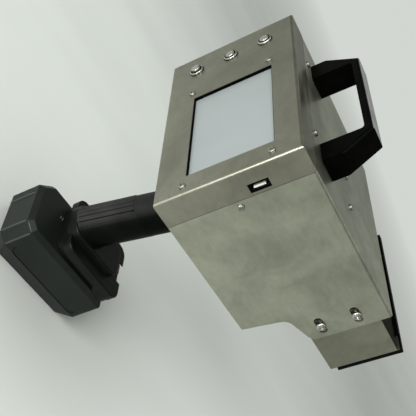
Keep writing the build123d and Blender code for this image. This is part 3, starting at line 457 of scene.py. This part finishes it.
def spring(name, foot, along, length, turns, radius, wire, body):
    """Coil spring with a round wire, standing on its foot."""
    axis = Vector(along)
    side = axis.orthogonal().normalized()
    lift = axis.cross(side)
    steps = 28 * turns
    path = []
    for i in range(steps + 1):
        a = 2 * math.pi * turns * i / steps
        rise = wire + (length - 2 * wire) * i / steps
        path.append(Vector(foot) + axis * rise + radius * (math.cos(a) * side + math.sin(a) * lift))
    return bead(name, path, wire, "screw", body, sides=8, tail=1)


def make_springs():
    """Coil springs in place of the CAD springs of the trigger and the release button."""
    x, z = node_middle("trigger_spring", 0), node_middle("trigger_spring", 2)
    low, high = node_span("trigger_spring", 1)
    made = spring("trigger_spring_coil", (x, low, z), (0, 1, 0), high - low,
                  turns=5, radius=3.2, wire=0.45, body="frame")
    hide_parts("trigger_spring")
    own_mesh(made)
    x, y = node_middle("release_spring", 0), node_middle("release_spring", 1)
    low, high = node_span("release_spring", 2)
    made = spring("release_spring_coil", (x, y, low), (0, 0, 1), high - low,
                  turns=3, radius=1.6, wire=0.3, body="battery")
    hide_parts("release_spring")
    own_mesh(made)


# The display opening in the screen cover, and the black lip that lines it as painted shade in the recess.
OPENING_X = (66.8, 166.6)
OPENING_Z = (24.1, 89.0)
LIP_WIDTH = 0.4
LIP_DEPTHS = (0.25, 2.65)
# Ring sections about a button's axis, as (radius, y): black rings painting the shade in the gap round each
# button and in the crease at the foot of its bezel.
BUTTON_GAP = [(4.0, -1.75), (4.1, -2.0), (4.5, -2.05), (4.9, -1.95), (5.0, -1.6), (4.0, -1.6),
              (4.0, -1.75)]
BUTTON_CREASE_SHADE = [(6.0, -0.02), (6.35, -0.02), (6.3, -0.25), (6.0, -0.3), (6.0, -0.02)]


def make_screen_details():
    """Black lip in the display opening and black rings round the buttons, painting the shade in these
    recesses, gaps and creases.
    """
    outer = corner_loop(*OPENING_X, *OPENING_Z, 0.8)
    inner = corner_loop(OPENING_X[0] + LIP_WIDTH, OPENING_X[1] - LIP_WIDTH,
                        OPENING_Z[0] + LIP_WIDTH, OPENING_Z[1] - LIP_WIDTH, 0.6)
    frame_piece("screen_shade_lip", outer, inner, lambda u, v, y: (u, y, v), *LIP_DEPTHS, "seam_and_shade", "frame")
    for name in ("power_button", "menu_button", "print_button"):
        centre = (node_middle(name, 0), node_middle(name, 2))
        # Painted shade in the button's gap and at its bezel's foot.
        turned(name + "_gap", centre, BUTTON_GAP, "seam_and_shade", "frame")
        turned(name + "_crease_shade", centre, BUTTON_CREASE_SHADE, "seam_and_shade", "frame")


def make_usb_details():
    """Black surround painting the shade at the mouth of the USB socket, and the pale tongue."""
    y0, y1 = node_span("usb_shell", 1)
    z0, z1 = node_span("usb_shell", 2)
    outer = corner_loop(y0 - 0.25, y1 + 0.25, z0 - 0.25, z1 + 0.25, 0.4)
    inner = corner_loop(y0 + 1.0, y1 - 1.0, z0 + 1.2, z1 - 1.2, 0.3)
    # Painted shade at the socket's mouth.
    frame_piece("usb_mouth_shade", outer, inner, lambda y, z, x: (x, y, z), BOX_W - 1.0, BOX_W - 0.2,
                "seam_and_shade", "frame")
    tongue_y = node_span("usb_tongue", 1)
    tongue_z = node_span("usb_tongue", 2)
    blade = corner_loop(tongue_y[0] + 0.3, tongue_y[1] - 0.3, tongue_z[0] + 0.8, tongue_z[1] - 0.8, 0.2)
    core = corner_loop(tongue_y[0] + 0.85, tongue_y[1] - 0.85, 70, 72, 0.02)
    frame_piece("usb_tongue_tip", blade, core, lambda y, z, x: (x, y, z), BOX_W - 5.1, BOX_W - 1.1,
                "insulator", "frame")
    strip_x, strip_y = BOX_W - 1.4, y0 + 1.4
    bead("usb_spring_strip", straight((strip_x, strip_y, z0 + 2.0), (strip_x, strip_y, z1 - 2.0)),
         0.34, "insulator", "frame")


# Heights of the battery's pale raised beads, which paint highlight lines along its chamfer edges. Then the
# seam of its side panel, as it is drawn: down the rear end as (y, z), along the lower line, and up the front
# end as (y, z).
BEAD_LOW, BEAD_HIGH = -158, -131
BEAD_TOP_Z = -130.3
SEAM_Y0, SEAM_Y1, SEAM_Z = 34, 106, -157.1
SEAM_REAR = [(27.0, -149.0), (27.2, -153.0), (28.6, -155.6), (31.5, -156.9)]
SEAM_FRONT = [(109.0, -156.3), (110.6, -154.0), (111.0, -150.0)]
CATCH_ROWS = (41.5, 44.0)


def make_battery_details():
    """Pale raised beads down the rear of the battery painting highlight lines on its chamfer edges, its side
    panel's seam and two catches.
    """
    near = node_span("battery_case_upper", 0)[1]
    rear = node_span("battery_case_upper", 1)[0]
    uprights = [("near", near - 0.2, rear + 8.2, BEAD_LOW, 0.9),
                ("middle", near - 8.0, rear + 0.2, BEAD_LOW, 1.0),
                ("far", 82, rear + 0.1, BEAD_LOW - 1, 1.0)]
    for name, x, y, low, radius in uprights:
        bead("battery_bead_" + name, straight((x, y, low), (x, y, BEAD_HIGH)), radius,
             "battery_highlight", "battery")
    bead("battery_bead_top",
         straight((near - 7.6, rear + 1.0, BEAD_TOP_Z), (near - 0.6, rear + 8.0, BEAD_TOP_Z), 8),
         0.5, "battery_highlight", "battery")
    side = near - 0.05
    seam = [(side, y, z) for y, z in SEAM_REAR]
    seam += straight((side, SEAM_Y0, SEAM_Z), (side, SEAM_Y1, SEAM_Z), 24)
    seam += [(side, y, z) for y, z in SEAM_FRONT]
    bead("battery_panel_seam", seam, 0.34, "seam_and_shade", "battery", tail=1)
    for i, y in enumerate(CATCH_ROWS):
        bead(f"battery_catch_{i}", straight((83.8, y, -126.2), (88.2, y - 0.6, -125.8), 8), 0.75,
             "battery_highlight", "battery")


# ---- stage, light and camera ----
BACKDROP = (0.645, 0.675, 0.635)
FLOOR = (0.72, 0.75, 0.72)
ROOM = (0.27, 0.285, 0.262)
# Metres: half the floor's width, and the distances over which it fades into the backdrop.
FLOOR_HALF = 6.0
FADE_START, FADE_END = 1.2, 3.2
# Painted shadow: the floor darkens along this direction, away from the near plate and the screen.
SHADE_TOWARDS = (-0.42, 0.9, 0)


def make_stage():
    """Pale seamless floor: real near the object, fading into the backdrop's tone far away; its colour darkens
    away from the object as a painted shadow, with faint streaks painting the shading of the foam's folds.
    """
    mesh = bpy.data.meshes.new("floor")
    signs = ((-1, -1), (1, -1), (1, 1), (-1, 1))
    mesh.from_pydata([(u * FLOOR_HALF, v * FLOOR_HALF, 0) for u, v in signs], [], [(0, 1, 2, 3)])
    floor = bpy.data.objects.new("floor", mesh)
    bpy.context.collection.objects.link(floor)
    s = Surface("floor_foam", FLOOR, 0.8)
    s.shader.inputs["Specular IOR Level"].default_value = 0.0
    # Faint streaks: painted shading of the foam's folds.
    fold_shading = s.noise(s.coords((1.0, 0.25, 1.0), (0, 0, 0.5)), 9, detail=2, rough=0.4)
    away = s.node("ShaderNodeVectorMath", operation="DOT_PRODUCT")
    s.link(s.coords(), away.inputs[0])
    away.inputs[1].default_value = SHADE_TOWARDS
    # Painted shadow darkening the floor away from the object, times the painted shading of the folds.
    painted_shade = s.math("MULTIPLY", s.span(fold_shading, 0.95, 1.02, 0.3, 0.7),
                     s.span(away.outputs["Value"], 1.0, 0.72, 0.25, 1.1))
    s.colour(s.mix(1.0, FLOOR, s.ramp(painted_shade, [(0.0, 0.0), (1.0, 1.0)]), "MULTIPLY"))
    s.bump(s.noise(s.coords(), 900, detail=2), 0.00008, 0.3)
    length = s.node("ShaderNodeVectorMath", operation="LENGTH")
    s.link(s.coords(), length.inputs[0])
    far = s.span(length.outputs["Value"], 0.0, 1.0, FADE_START, FADE_END)
    glow = s.node("ShaderNodeEmission")
    glow.inputs["Color"].default_value = (*BACKDROP, 1)
    blend = s.node("ShaderNodeMixShader")
    s.link(far, blend.inputs[0])
    s.link(s.shader.outputs[0], blend.inputs[1])
    s.link(glow.outputs[0], blend.inputs[2])
    s.link(blend.outputs[0], s.tree.nodes["Material Output"].inputs["Surface"])
    mesh.materials.append(s.material)


def area_light(name, place, target, size, power, colour):
    """Rectangular light at one place, aimed at another."""
    light = bpy.data.lights.new(name, "AREA")
    light.shape = "RECTANGLE"
    light.size, light.size_y = size
    light.energy = power
    light.color = colour
    lamp = bpy.data.objects.new(name, light)
    lamp.location = place
    lamp.rotation_euler = (target - place).to_track_quat("-Z", "Y").to_euler()
    bpy.context.collection.objects.link(lamp)


def make_world():
    """Pale backdrop for the view; a dimmer room for reflections and fill."""
    world = bpy.data.worlds.new("studio")
    world.use_nodes = True
    tree = world.node_tree
    room = tree.nodes["Background"]
    room.inputs["Color"].default_value = (*ROOM, 1)
    backdrop = tree.nodes.new("ShaderNodeBackground")
    backdrop.inputs["Color"].default_value = (*BACKDROP, 1)
    path = tree.nodes.new("ShaderNodeLightPath")
    mix = tree.nodes.new("ShaderNodeMixShader")
    tree.links.new(path.outputs["Is Camera Ray"], mix.inputs[0])
    tree.links.new(room.outputs[0], mix.inputs[1])
    tree.links.new(backdrop.outputs[0], mix.inputs[2])
    tree.links.new(mix.outputs[0], tree.nodes["World Output"].inputs["Surface"])
    bpy.context.scene.world = world


def make_lights():
    """Broad soft key over the camera, a high soft light for the floor, a low kicker for the bends."""
    middle = at(90, 90, 0)
    area_light("key", at(1170, -1590, 1250), middle, size=(1.5, 1.5), power=45,
               colour=(1.0, 1.0, 0.98))
    area_light("top", at(-200, 200, 3600), middle, size=(3.0, 3.0), power=55,
               colour=(0.97, 1.0, 0.98))
    area_light("kicker", at(930, -900, -40), at(120, 0, 60), size=(0.45, 0.22), power=9.5,
               colour=(1.0, 0.99, 0.96))
    bpy.context.scene.view_settings.view_transform = "Standard"


CAMERA_PLACE = (564.3, -246.9, 190.6)
CAMERA_RIGHT = (-0.04356, 0.46559, 0.88393)
CAMERA_FORWARD = (-0.74111, 0.57827, -0.34111)
CAMERA_LENS = 64.1
CAMERA_SHIFT = 0.096


def make_camera():
    """Close view over the near side plate, rolled as the tool lies on its side."""
    data = bpy.data.cameras.new("camera")
    data.lens = CAMERA_LENS
    data.sensor_width = 36
    data.shift_y = CAMERA_SHIFT
    data.clip_start = 0.01
    camera = bpy.data.objects.new("camera", data)
    right = Vector(CAMERA_RIGHT).normalized()
    back = -Vector(CAMERA_FORWARD).normalized()
    up = back.cross(right)
    turn = Matrix((right, up, back)).transposed()
    camera.matrix_world = Matrix.Translation(at(*CAMERA_PLACE)) @ turn.to_4x4()
    bpy.context.collection.objects.link(camera)
    bpy.context.scene.camera = camera


dress_frame()
make_screen_details()
make_usb_details()
make_battery_details()
make_springs()
make_stage()
make_world()
make_lights()
make_camera()
